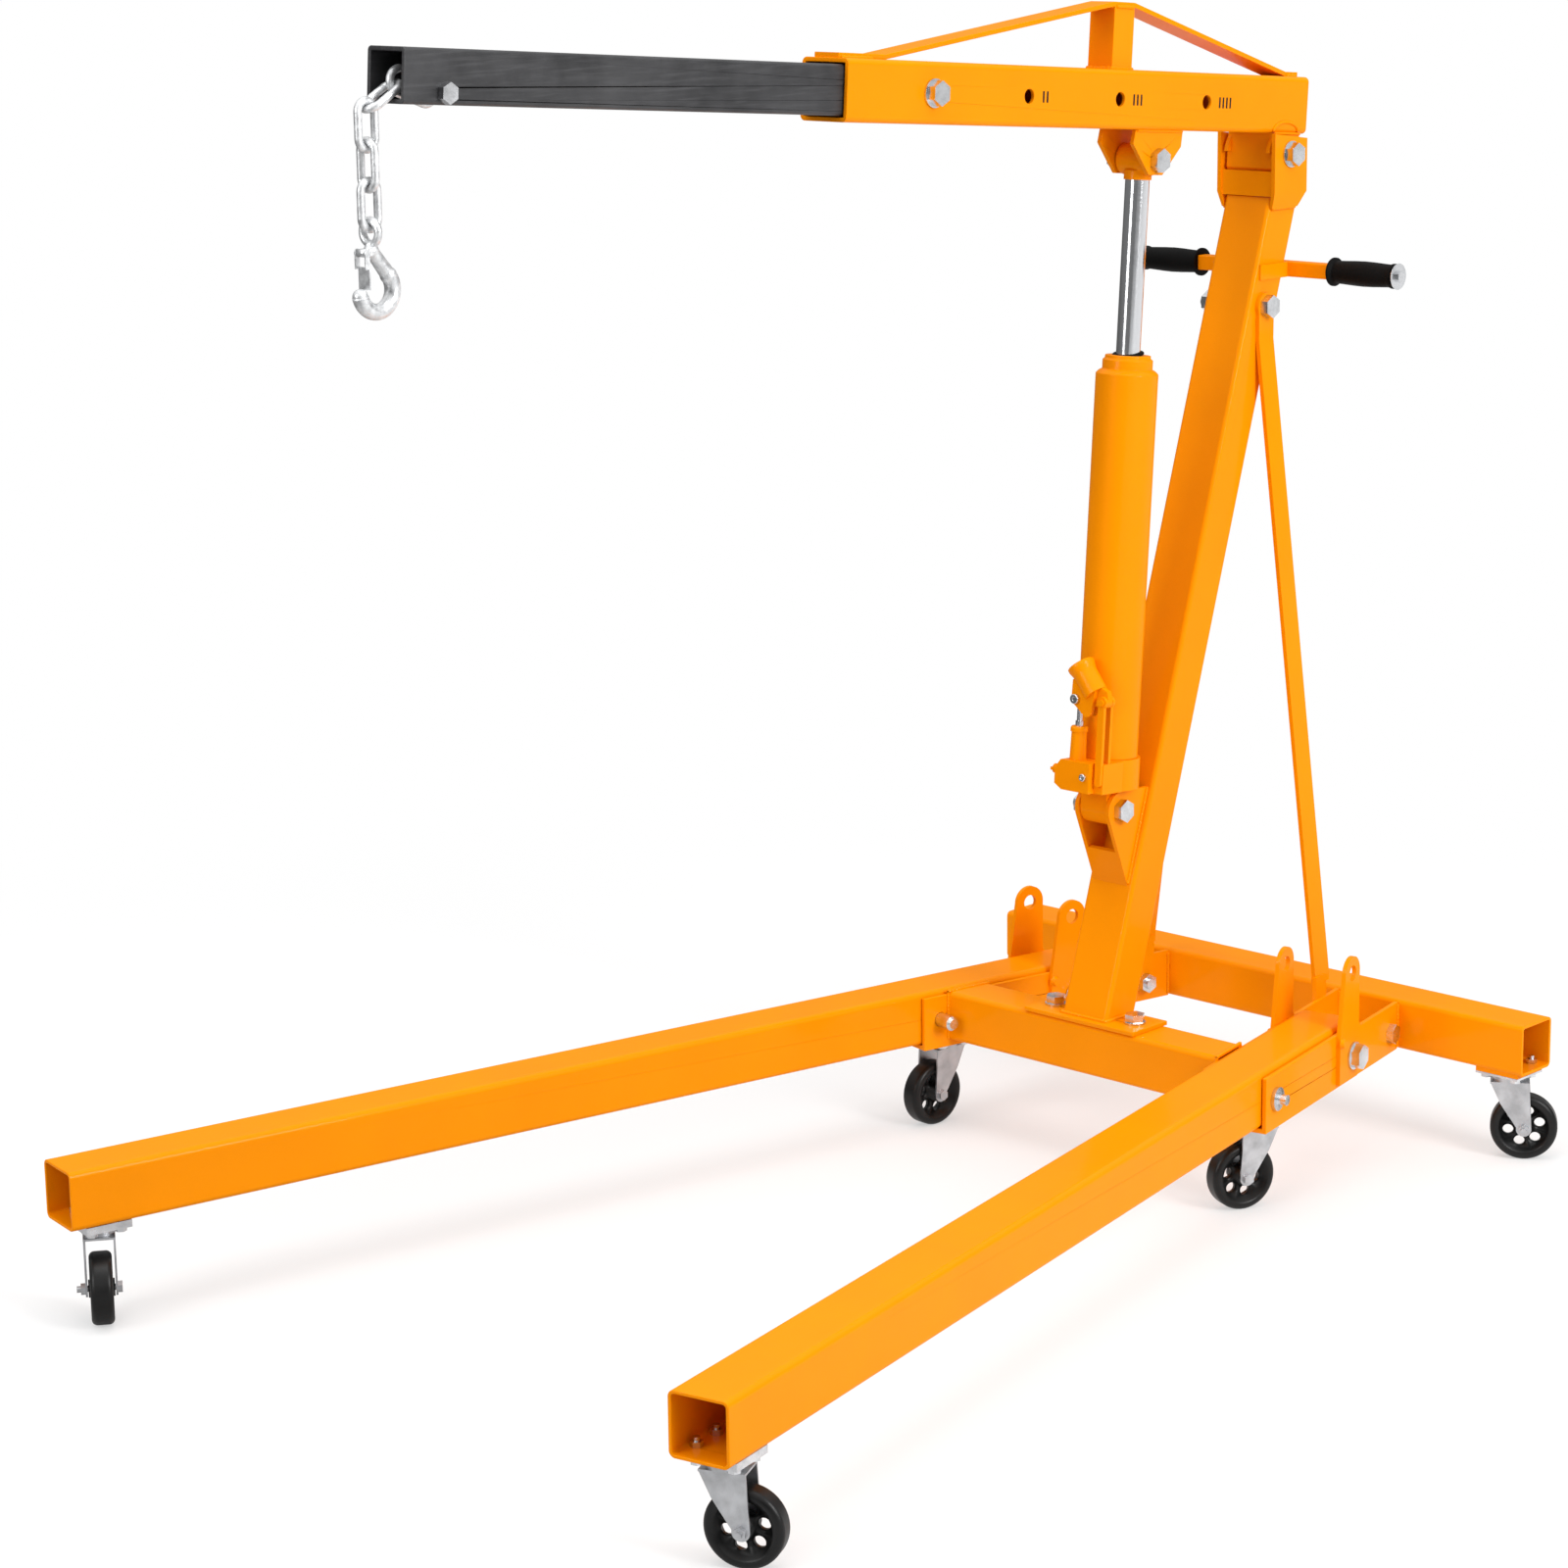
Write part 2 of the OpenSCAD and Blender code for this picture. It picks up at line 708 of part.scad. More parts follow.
module boom_truss() {
    top = boom_axis + boom_w / 2;
    peak = top + truss_h;
    foot_f = -boom_front + 85;
    foot_b = 16;
    color(paint) at_boom() {
        difference() {
            translate([-truss_w / 2, post_y - 20, top]) cube([truss_w, 40, truss_h - strap_t + 1]);
            translate([-truss_w / 2 + 3, post_y - 17, top - over])
                cube([truss_w - 6, 34, truss_h]);
        }
        // one flat strap from the front of the boom, over the post, to the back
        side_plate(-truss_w / 2, truss_w / 2) polygon([
            [-boom_front + 2, top], [foot_f, top], [post_y - 20, peak - strap_t],
            [post_y + 20, peak - strap_t], [foot_b, top], [boom_back - 3, top],
            [boom_back - 3, top + strap_t], [foot_b + 0.7, top + strap_t],
            [post_y + 20.7, peak], [post_y - 20.7, peak],
            [foot_f - 0.5, top + strap_t], [-boom_front + 2, top + strap_t]
        ]);
    }
}

module boom_clevis() {
    color(paint) at_boom() difference() {
        for (x = [-clevis_in - plate, clevis_in])
            side_plate(x, x + plate) translate([-clevis_y, clevis_z]) polygon([
                [-46, boom_under - clevis_z], [-50, 20], [-15, -19], [13, -19],
                [49, 18], [51, boom_under - clevis_z]
            ]);
        rod_x(M18[0] + 0.1, -60, 60, -clevis_y, clevis_z);
    }
}

module boom_lug() {
    half = boom_w / 2;
    color(paint) at_boom() difference() {
        union() {
            for (x = [-half, half - plate]) side_plate(x, x + plate) {
                circle(lug_r);
                translate([-26, 0]) square([26 + lug_r - 2, boom_under]);
            }
            // front plate, and the wrap that carries it round under the hinge
            translate([-half + plate, -26, -18]) cube([2 * half - 2 * plate, 5, boom_under + 18]);
            side_plate(-half + 1, half - 1) intersection() {
                difference() {
                    circle(lug_r);
                    circle(lug_r - 5);
                }
                translate([-26, -lug_r]) square([46, lug_r - 12]);
            }
        }
        rod_x(M18[0] + 2 * fit, -60, 60);
        // the lug ends short of the front bar of the head, and under the boom
        translate([-60, -60, -60]) cube([120, 34, 60]);
        translate([-60, -60, boom_under]) cube([120, 120, 20]);
    }
}

module clevis_bolt() {
    color(zinc) at_boom() translate([0, -clevis_y, clevis_z])
        bolt_x(M18, -clevis_in - plate - 0.05, clevis_in + plate + 0.05, clevis_in);
}

module position_bolt() {
    color(zinc) at_boom() translate([0, -boom_front + first_hole, boom_axis])
        bolt_x(M18, -boom_w / 2 - 0.05, boom_w / 2 + 0.05, boom_w / 2 - boom_wall, 3);
}

module inner_boom() {
    color(dark_steel) at_boom() difference() {
        translate([0, 0, boom_axis])
            tube_y(inner_w, inner_w, inner_wall, 5, -inner_front, -inner_back);
        rod_x(M18[0] + 1, -60, 60, -boom_front + first_hole, boom_axis);
        rod_x(M14[0] + 0.1, -60, 60, -chain_bolt_y, chain_bolt_z);
        // slot in the floor for the first link
        translate([-wire / 2 - 1.5, -inner_front + 6, inner_floor - over])
            cube([wire + 3, 76, inner_wall + 2 * over]);
    }
}

module chain_bolt() {
    color(zinc) at_boom() translate([0, -chain_bolt_y, chain_bolt_z])
        bolt_x(M14, -inner_w / 2 - 0.05, inner_w / 2 + 0.05);
}

// ---- chain and hook ----

// half ring of chain wire in the YZ plane, open downwards
module half_ring(r, d) {
    rotate([90, 0, 90]) rotate_extrude(angle = 180, $fn = 40)
        translate([r, 0]) circle(d = d, $fn = 20);
}

// link in the YZ plane with its upper inside end at the origin, hanging to z = -len
module link(len = pitch, inside = link_in) {
    r = (inside + wire) / 2;
    arc_top = -inside / 2;
    arc_low = -len + inside / 2;
    color(zinc) {
        translate([0, 0, arc_top]) half_ring(r, wire);
        translate([0, 0, arc_low]) rotate([180, 0, 0]) half_ring(r, wire);
        for (y = [-r, r]) translate([0, y, arc_low - 0.01])
            cylinder(d = wire, h = arc_top - arc_low + 0.02, $fn = 20);
    }
}

// the first link lies round the chain bolt and points to the mouth of the tube;
// bend is the centre of its curved outer end, first in the boom's frame
bend_reach = end_link_len - M14[0] / 2 - gap - end_link_in / 2;
bend_y = -chain_bolt_y - bend_reach * cos(end_link_tilt);
bend_z = chain_bolt_z + bend_reach * sin(end_link_tilt);
bend_world = [
    head_y + bend_y * cos(boom_slope) + bend_z * sin(boom_slope),
    head_z - bend_y * sin(boom_slope) + bend_z * cos(boom_slope)
];

// far end of the second link and the place that the rest hangs from, in the world
slope2 = lip_tilt - boom_slope;
link2_y = bend_world[0] - (end_link_in / 2 - gap) * cos(slope2);
link2_z = bend_world[1] - (end_link_in / 2 - gap) * sin(slope2);
hang_y = link2_y - (pitch + wire / 2) * cos(slope2);
hang_z = link2_z - (pitch + wire / 2) * sin(slope2) + wire / 2 + gap;

module chain_link_1() {
    at_boom() translate([0, -chain_bolt_y, chain_bolt_z]) rotate([-90 - end_link_tilt, 0, 0])
        translate([0, 0, M14[0] / 2 + gap]) link(end_link_len, end_link_in);
}

module chain_link_2() {
    translate([0, link2_y, link2_z]) rotate([slope2 - 90, 0, 0])
        rotate([0, 0, 90]) link();
}

module hanging(i) {
    translate([0, hang_y, hang_z - i * (pitch - gap)]) children();
}

module hook() {
    run = [bowl_y + bowl_r * cos(40), bowl_z + bowl_r * sin(40)];
    tip = [bowl_y + bowl_r * cos(hook_tip), bowl_z + bowl_r * sin(hook_tip)];
    lean = atan2(run[0], neck_z - run[1]);
    color(zinc) hanging(3) difference() {
        union() {
            // eye, in the XZ plane
            translate([0, 0, -eye_in_r]) rotate([90, 0, 0]) rotate_extrude()
                translate([eye_in_r + wire / 2, 0]) circle(d = wire, $fn = 24);
            translate([0, 0, neck_z]) sphere(d = 16.4, $fn = 32);
            translate([0, 0, neck_z]) cylinder(d1 = 15, d2 = 11, h = 9, $fn = 32);
            // shank from the neck to the back of the bowl
            translate([0, run[0], run[1]]) rotate([lean, 0, 0])
                cylinder(d1 = bowl_d - 1, d2 = 14.6, h = norm([run[0], neck_z - run[1]]),
                    $fn = 32);
            // bowl and its rounded tip
            translate([0, bowl_y, bowl_z]) rotate([90, 0, 90]) rotate([0, 0, hook_tip])
                rotate_extrude(angle = 400 - hook_tip, $fn = 64)
                    translate([bowl_r, 0]) circle(d = bowl_d, $fn = 32);
            translate([0, tip[0], tip[1]]) sphere(d = bowl_d - 0.8, $fn = 32);
            translate([0, run[0], run[1]]) sphere(d = bowl_d + 0.8, $fn = 32);
            // ears for the latch
            translate([-7, -15, -33]) cube([14, 14, 8]);
        }
        rod_x(4.1, -10, 10, -12, -29);
    }
}

module hook_latch() {
    // sheet latch from its pin on the neck to the inside of the tip
    color(zinc) hanging(3) difference() {
        union() {
            rod_x(4, -9, 9, -12, -29);
            for (x = [-9, 7.4]) side_plate(x, x + 1.6) {
                translate([-12, -29]) circle(4.5);
                translate([-16, -46]) square([6.3, 17]);
            }
            translate([-9, -11.3, -68]) cube([18, 1.6, 24]);
        }
    }
}

// ---- ram ----

module ram_cylinder() {
    color(paint) at_ram() difference() {
        rotate_extrude() polygon([
            [rod_d / 2 + fit, base_top + 0.05], [ram_d / 2, base_top + 0.05],
            [ram_d / 2, tube_top], [ram_d / 2 - 4, tube_top + 4], [cap_d / 2 + 3, tube_top + 6],
            [cap_d / 2 + 3, cap_top - 6], [cap_d / 2, cap_top - 4], [cap_d / 2, cap_top],
            [rod_d / 2 + fit, cap_top]
        ]);
        translate([0, 0, base_top - over]) cylinder(d = bore_d, h = tube_top - base_top - 8);
    }
}

// plate that lies across the pump, from y0 back to y1; 2D x is right, 2D y is up
module cross_plate(y0, y1) {
    translate([0, y1, 0]) rotate([90, 0, 0]) linear_extrude(y1 - y0) children();
}

module ram_base() {
    color(paint) at_ram() {
        difference() {
            union() {
                translate([0, 0, base_low]) cylinder(d = ram_d + 8, h = base_top - base_low);
                // pump block, its front left corners cut back
                cross_plate(block_front, -20) polygon([
                    [block_left, base_low + 8], [block_left + 12, base_low + 1],
                    [block_right, base_low + 1], [block_right, base_top],
                    [block_left + 9, base_top], [block_left, base_top - 12]
                ]);
                translate([block_right - 1, pump_y - 5, base_low + 1])
                    cube([16, 41, base_top - base_low - 1]);
                translate([-lug_half, -22, 0]) cube([2 * lug_half, 44, base_low + 1]);
                rod_x(44, -lug_half, lug_half);
            }
            rod_x(M18[0] + 2 * fit, -60, 60);
            translate([0, pump_y, base_low + 10]) cylinder(d = plunger_d + 1, h = 60);
            translate([block_left - over, valve_y, valve_z]) rotate([0, 90, 0])
                cylinder(d = valve_d + 2 * fit, h = 16);
        }
        // the two links that carry the rocker, and their pin; the front one laps the block
        for (y = [[pump_y - 9.5, base_low + 16], [pump_y + 5, base_top - 2]])
            cross_plate(y[0], y[0] + 5) {
                translate([fulcrum_x - 5, y[1]]) square([10, pin_z - y[1]]);
                translate([fulcrum_x, y[1]]) circle(5);
                translate([fulcrum_x, pin_z]) circle(8);
            }
        translate([fulcrum_x, pump_y + 12, pin_z]) rotate([90, 0, 0]) cylinder(d = 9, h = 24);
    }
    color(zinc) at_ram() translate([block_right - 9, block_front + 0.1, valve_z - 3])
        rotate([90, 0, 0]) cylinder(d = 9, h = 3.5);
}

module pump_cylinder() {
    color(paint) at_ram() translate([0, pump_y, 0]) difference() {
        union() {
            translate([0, 0, base_top + 0.05]) cylinder(d1 = 22, d2 = 20, h = pump_top - base_top - 6);
            translate([0, 0, pump_top - 7]) cylinder(d = 23, h = 5);
            translate([0, 0, pump_top - 2.01]) cylinder(d1 = 23, d2 = 20, h = 2.01);
        }
        translate([0, 0, base_top - over]) cylinder(d = plunger_d + 2 * fit, h = 60);
    }
}

module pump_plunger() {
    color(zinc) at_ram() translate([0, pump_y, 0]) difference() {
        union() {
            translate([0, 0, base_top - 26]) cylinder(d = plunger_d, h = pin_z - base_top - 4);
            translate([0, 0, base_top]) cylinder(d = 8, h = pin_z - base_top - 4);
            translate([0, 4, pin_z]) rotate([90, 0, 0]) cylinder(d = 18, h = 8);
        }
        // slotted eye, so the rod stays upright while the rocker pin moves round
        translate([-1.8, -6, pin_z - 4.5]) cube([3.6, 12, 9]);
        for (x = [-1.8, 1.8]) translate([x, 6, pin_z]) rotate([90, 0, 0])
            cylinder(d = 9, h = 12);
    }
}

module at_socket() {
    translate([socket_root, pump_y, pin_z]) rotate([0, -socket_lean, 0]) children();
}

module pump_socket() {
    color(paint) at_ram() difference() {
        union() {
            // two cheeks over the plunger and the tail between the links
            for (y = [pump_y - 10, pump_y + 4.3]) cross_plate(y, y + 5.7) {
                translate([0, pin_z]) circle(8);
                translate([18, pin_z - 14]) circle(8);
                polygon([
                    [-8, pin_z], [-7, pin_z + 25], [14, pin_z + 34], [31, pin_z + 18],
                    [30, pin_z + 8], [25.6, pin_z - 16], [12, pin_z - 19], [-4, pin_z - 7]
                ]);
            }
            cross_plate(pump_y - 4.4, pump_y + 4.4) {
                translate([fulcrum_x, pin_z]) circle(8);
                polygon([
                    [fulcrum_x, pin_z - 8], [fulcrum_x + 8, pin_z], [fulcrum_x + 5, pin_z + 14],
                    [14, pin_z + 30], [13, pin_z + 10], [22, pin_z - 6]
                ]);
            }
            at_socket() {
                translate([0, 0, socket_low]) cylinder(d = socket_d, h = socket_len - socket_low);
                translate([0, 0, socket_len - 14]) cylinder(d1 = socket_d, d2 = socket_d + 5, h = 10);
                translate([0, 0, socket_len - 4.01]) cylinder(d = socket_d + 5, h = 4.01);
            }
        }
        translate([fulcrum_x, pump_y + 30, pin_z]) rotate([90, 0, 0])
            cylinder(d = 9 + 2 * fit, h = 60);
        at_socket() translate([0, 0, socket_len - 43]) cylinder(d = socket_bore, h = 60);
        // room for the eye of the plunger
        translate([-13, pump_y - 4.45, pin_z - 20]) cube([26, 8.9, 33]);
    }
    color(zinc) at_ram() translate([0, pump_y, pin_z]) rotate([90, 0, 0]) {
        translate([0, 0, -12]) cylinder(d = 8, h = 24);
        translate([0, 0, 10.05]) cylinder(d = 12, h = 4);
    }
}

module release_valve() {
    color(paint) at_ram() translate([block_left - 0.05, valve_y, valve_z]) rotate([0, -90, 0]) {
        translate([0, 0, -14]) cylinder(d = valve_d, h = 15);
        cylinder(d = 13, h = 9);
        translate([-2, -6, 8.9]) cube([4, 12, 3.5]);
    }
}

module ram_rod() {
    color(zinc) at_ram() {
        translate([0, 0, piston_z]) cylinder(d = rod_d, h = ram_len - 26 - piston_z);
        translate([0, 0, piston_z - 18]) cylinder(d = bore_d - 0.2, h = 18.01);
    }
}

module rod_eye() {
    color(paint) at_ram() difference() {
        union() {
            translate([0, 0, ram_len - 25.95]) cylinder(d = rod_d + 4, h = 12);
            rod_x(2 * eye_r, -lug_half, lug_half, 0, ram_len);
        }
        rod_x(M18[0] + 0.2, -60, 60, 0, ram_len);
    }
}

front_crossbeam();
rear_crossbeam();
sleeve(1);  // left_sleeve
sleeve(-1);  // right_sleeve
arm_plates(1);  // left_arm_plates
arm_plates(-1);  // right_arm_plates
leg_pivot_bolts();
frame_bolts();
mast_tube();
mast_foot();
mast_head();
mast_bolts();
ram_ears();
brace(1);  // left_brace
brace(-1);  // right_brace
handle_bar();
handle_grips();
grip_ends();
base_caster_plates();
leg(1);  // left_leg
leg(-1);  // right_leg
leg_plate(1);  // left_leg_plate
leg_plate(-1);  // right_leg_plate
lock_pin(1);  // left_lock_pin
lock_pin(-1);  // right_lock_pin
at_caster(1, tip_pos, tip_turn) fork();  // fork_left_tip
at_caster(1, mid_pos, mid_turn) fork();  // fork_left_mid
at_caster(1, rear_pos, rear_turn) fork();  // fork_left_rear
at_caster(-1, tip_pos, tip_turn) fork();  // fork_right_tip
at_caster(-1, mid_pos, mid_turn) fork();  // fork_right_mid
at_caster(-1, rear_pos, rear_turn) fork();  // fork_right_rear
at_caster(1, tip_pos, tip_turn) wheel();  // wheel_left_tip
at_caster(1, mid_pos, mid_turn) wheel();  // wheel_left_mid
at_caster(1, rear_pos, rear_turn) wheel();  // wheel_left_rear
at_caster(-1, tip_pos, tip_turn) wheel();  // wheel_right_tip
at_caster(-1, mid_pos, mid_turn) wheel();  // wheel_right_mid
at_caster(-1, rear_pos, rear_turn) wheel();  // wheel_right_rear
boom_tube();
boom_truss();
boom_clevis();
boom_lug();
clevis_bolt();
position_bolt();
inner_boom();
chain_bolt();
chain_link_1();
chain_link_2();
hanging(0) link();  // chain_link_3
hanging(1) rotate([0, 0, 90]) link();  // chain_link_4
hanging(2) link();  // chain_link_5
hook();
hook_latch();
ram_cylinder();
ram_base();
pump_cylinder();
pump_plunger();
pump_socket();
release_valve();
ram_rod();
rod_eye();
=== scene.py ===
"""Folding engine hoist crane: materials, soft edges, weld beads and small fittings round the CAD frame."""
import json
import math
import random

import bmesh
import bpy
from mathutils import Matrix, Vector

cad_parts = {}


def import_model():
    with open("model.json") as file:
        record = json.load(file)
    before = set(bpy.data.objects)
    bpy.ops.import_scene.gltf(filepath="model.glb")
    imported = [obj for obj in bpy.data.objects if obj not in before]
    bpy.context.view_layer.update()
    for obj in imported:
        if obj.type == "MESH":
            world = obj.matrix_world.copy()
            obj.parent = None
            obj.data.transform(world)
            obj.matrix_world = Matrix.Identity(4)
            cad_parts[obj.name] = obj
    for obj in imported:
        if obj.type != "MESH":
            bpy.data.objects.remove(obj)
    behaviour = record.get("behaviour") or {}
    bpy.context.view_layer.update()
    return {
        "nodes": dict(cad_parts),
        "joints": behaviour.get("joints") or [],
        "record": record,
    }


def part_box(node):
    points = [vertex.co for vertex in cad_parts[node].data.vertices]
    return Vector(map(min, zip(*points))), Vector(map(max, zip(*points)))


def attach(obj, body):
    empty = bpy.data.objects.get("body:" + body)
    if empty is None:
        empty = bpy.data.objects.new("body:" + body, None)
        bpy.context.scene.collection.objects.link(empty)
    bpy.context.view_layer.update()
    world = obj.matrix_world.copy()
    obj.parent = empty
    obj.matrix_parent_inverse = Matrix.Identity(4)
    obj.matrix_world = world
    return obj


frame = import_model()
nodes = frame["nodes"]
joints = {j["name"]: j for j in frame["joints"]}
scene = bpy.context.scene
scene.view_settings.view_transform = "Standard"

MM = 0.001

# the camera stands where the photo was taken from
CAMERA_AZIMUTH = 43.81
CAMERA_ELEVATION = 13.35
CAMERA_ROLL = -0.81
CAMERA_LENS = 90.6
CAMERA_PLACE = (3.2262, -3.5181, 1.7386)


# ---------------------------------------------------------------- materials
class Tree:
    """A material with short helpers for building its node tree."""

    def __init__(self, name):
        self.material = bpy.data.materials.new(name)
        self.material.use_nodes = True
        self.nodes = self.material.node_tree.nodes
        self.links = self.material.node_tree.links
        self.shader = self.nodes["Principled BSDF"]
        self.place = self.node("ShaderNodeTexCoord").outputs["Object"]

    def node(self, kind, **values):
        made = self.nodes.new(kind)
        for key, value in values.items():
            if key in made.inputs:
                made.inputs[key].default_value = value
            else:
                setattr(made, key, value)
        return made

    def link(self, source, target):
        self.links.new(source, target)

    def noise(self, scale, detail=3.0, rough=0.55, stretch=None):
        made = self.node("ShaderNodeTexNoise", Scale=scale, Detail=detail, Roughness=rough)
        place = self.place
        if stretch:
            mapping = self.node("ShaderNodeMapping", Scale=stretch)
            self.link(place, mapping.inputs["Vector"])
            place = mapping.outputs["Vector"]
        self.link(place, made.inputs["Vector"])
        return made.outputs["Fac"]

    def ramp(self, source, stops):
        made = self.node("ShaderNodeValToRGB")
        items = made.color_ramp.elements
        while len(items) < len(stops):
            items.new(0.5)
        for item, (at, value) in zip(items, stops):
            item.position = at
            item.color = value if len(value) == 4 else (*value, 1.0)
        self.link(source, made.inputs["Fac"])
        return made.outputs["Color"]

    def grey_ramp(self, source, low, high, start=0.3, end=0.7):
        return self.ramp(source, [(start, (low,) * 3), (end, (high,) * 3)])

    def mix(self, amount, a, b):
        made = self.node("ShaderNodeMix", data_type="RGBA")
        for value, socket in ((amount, 0), (a, 6), (b, 7)):
            if isinstance(value, (float, int, tuple)):
                made.inputs[socket].default_value = value
            else:
                self.link(value, made.inputs[socket])
        return made.outputs[2]

    def bump(self, height, distance, strength=1.0, below=None):
        made = self.node("ShaderNodeBump", Distance=distance, Strength=strength)
        self.link(height, made.inputs["Height"])
        if below is not None:
            self.link(below, made.inputs["Normal"])
        self.link(made.outputs["Normal"], self.shader.inputs["Normal"])
        return made.outputs["Normal"]

    def set(self, **values):
        for key, value in values.items():
            socket = self.shader.inputs[key.replace("_", " ")]
            if hasattr(value, "is_linked") or hasattr(value, "links"):
                self.link(value, socket)
            else:
                socket.default_value = value
        return self.material


def paint():
    """Orange powder coat: orange peel, a fine grain and a soft sheen."""
    t = Tree("orange_powder_coat")
    patch = t.noise(7.0, 4.0)
    grain = t.noise(900.0, 2.0)
    base = t.ramp(patch, [(0.3, (0.88, 0.262, 0.0)), (0.7, (0.94, 0.284, 0.0))])
    base = t.mix(t.grey_ramp(grain, 0.0, 0.35, 0.45, 0.8), base, (0.78, 0.226, 0.0, 1))
    t.link(base, t.shader.inputs["Base Color"])
    t.link(t.grey_ramp(patch, 0.36, 0.46), t.shader.inputs["Roughness"])
    wave = t.bump(t.noise(60.0, 2.0), 0.0006, 0.2)
    t.bump(t.noise(420.0, 2.0), 0.0002, 0.4, wave)
    return t.set(Specular_IOR_Level=0.02, Coat_Weight=0.12, Coat_Roughness=0.1)


def zinc(name, tone=(0.80, 0.81, 0.83), rough=(0.16, 0.3), grain=160.0):
    """Bright zinc plate on pressed or turned steel."""
    t = Tree(name)
    cloud = t.noise(55.0, 5.0)
    fine = t.noise(grain * 6, 2.0)
    dark = tuple(c * 0.66 for c in tone)
    t.link(t.ramp(cloud, [(0.3, dark), (0.68, tone)]), t.shader.inputs["Base Color"])
    t.link(t.grey_ramp(cloud, *rough), t.shader.inputs["Roughness"])
    low = t.bump(t.noise(grain, 3.0), 0.0004, 0.3)
    t.bump(fine, 0.00008, 0.4, low)
    return t.set(Metallic=1.0)


def chain_metal():
    """Galvanised chain and hook: pale, dulled, slightly lumpy."""
    t = Tree("galvanised_steel")
    cloud = t.noise(110.0, 6.0, 0.65)
    t.link(t.ramp(cloud, [(0.32, (0.55, 0.56, 0.57)), (0.66, (0.90, 0.91, 0.92))]),
           t.shader.inputs["Base Color"])
    t.link(t.grey_ramp(cloud, 0.26, 0.5), t.shader.inputs["Roughness"])
    t.bump(t.noise(240.0, 4.0), 0.0005, 0.45)
    return t.set(Metallic=0.7)


def chrome():
    """Ground and chromed rod: mirror finish with faint turning marks."""
    t = Tree("chromed_rod")
    rings = t.noise(40.0, 3.0, 0.5, (1.0, 1.0, 60.0))
    t.link(t.grey_ramp(rings, 0.10, 0.2), t.shader.inputs["Roughness"])
    t.bump(rings, 0.00002, 0.12)
    return t.set(Metallic=1.0, Base_Color=(0.74, 0.75, 0.77, 1))


def mill_tube():
    """Dark oiled mill scale, streaked along the tube."""
    t = Tree("dark_mill_scale")
    streak = t.noise(26.0, 5.0, 0.6, (9.0, 0.5, 9.0))
    cloud = t.noise(14.0, 5.0, 0.6)
    tone = t.ramp(cloud, [(0.3, (0.028, 0.028, 0.030)), (0.7, (0.060, 0.060, 0.063))])
    tone = t.mix(t.grey_ramp(streak, 0.0, 0.5, 0.5, 0.8), tone, (0.10, 0.10, 0.105, 1))
    t.link(tone, t.shader.inputs["Base Color"])
    t.link(t.grey_ramp(streak, 0.34, 0.52), t.shader.inputs["Roughness"])
    low = t.bump(streak, 0.0003, 0.3)
    t.bump(t.noise(500.0, 2.0), 0.0001, 0.4, low)
    return t.set(Metallic=0.35)


def black(name, tone, rough, grain, depth, shine=0.09):
    """Moulded black plastic or rubber."""
    t = Tree(name)
    cloud = t.noise(30.0, 4.0)
    lighter = tuple(c * 1.9 for c in tone)
    t.link(t.ramp(cloud, [(0.35, tone), (0.7, lighter)]), t.shader.inputs["Base Color"])
    t.link(t.grey_ramp(cloud, *rough), t.shader.inputs["Roughness"])
    t.bump(t.noise(grain, 3.0), depth, 0.5)
    return t.set(Specular_IOR_Level=shine)


MATERIALS = {
    "orange_paint": paint(),
    "zinc_plate": zinc("bright_zinc"),
    "black_wheel": black("moulded_wheel", (0.004, 0.004, 0.004), (0.3, 0.44), 500.0, 0.0001, 0.28),
    "black_rubber": black("grip_rubber", (0.002, 0.002, 0.002), (0.55, 0.7), 900.0, 0.0002),
    "dark_tube": mill_tube(),
    "galvanised_chain": chain_metal(),
    "chrome_rod": chrome(),
}
FORK_METAL = zinc("pressed_zinc", (0.62, 0.63, 0.65), (0.34, 0.52), 90.0)
INK = black("screen_ink", (0.012, 0.011, 0.010), (0.4, 0.5), 600.0, 0.00005)


# ---------------------------------------------------------------- CAD nodes
def edge_width(name):
    """Width of the softened edges of a node, in millimetres."""
    if name.startswith(("wheel", "chain_link", "hook")) and name != "hook_latch":
        return 0.0
    if name.endswith(("bolt", "bolts")) or name in ("grip_ends", "base_caster_plates"):
        return 0.7
    if name.startswith("fork") or name.endswith("leg_plate") or name == "hook_latch":
        return 0.6
    if name in ("ram_base", "pump_socket", "pump_cylinder", "rod_eye", "release_valve"):
        return 1.6
    return 0.9


def dress_nodes():
    slots = {p["node"]: p["material_slot"] for p in frame["record"]["subparts"]}
    for name, obj in nodes.items():
        obj.data.materials.clear()
        is_fork = name.startswith("fork")
        obj.data.materials.append(FORK_METAL if is_fork else MATERIALS[slots[name]])
        weld = obj.modifiers.new("weld", "WELD")
        weld.merge_threshold = 1e-6
        width = edge_width(name)
        for face in obj.data.polygons:
            face.use_smooth = True
        if width:
            bevel = obj.modifiers.new("bevel", "BEVEL")
            bevel.width = width * MM
            bevel.segments = 2
            bevel.limit_method = "ANGLE"
            bevel.angle_limit = math.radians(28)
            bevel.use_clamp_overlap = True
            bevel.harden_normals = False
            normals = obj.modifiers.new("normals", "WEIGHTED_NORMAL")
            normals.keep_sharp = True


dress_nodes()


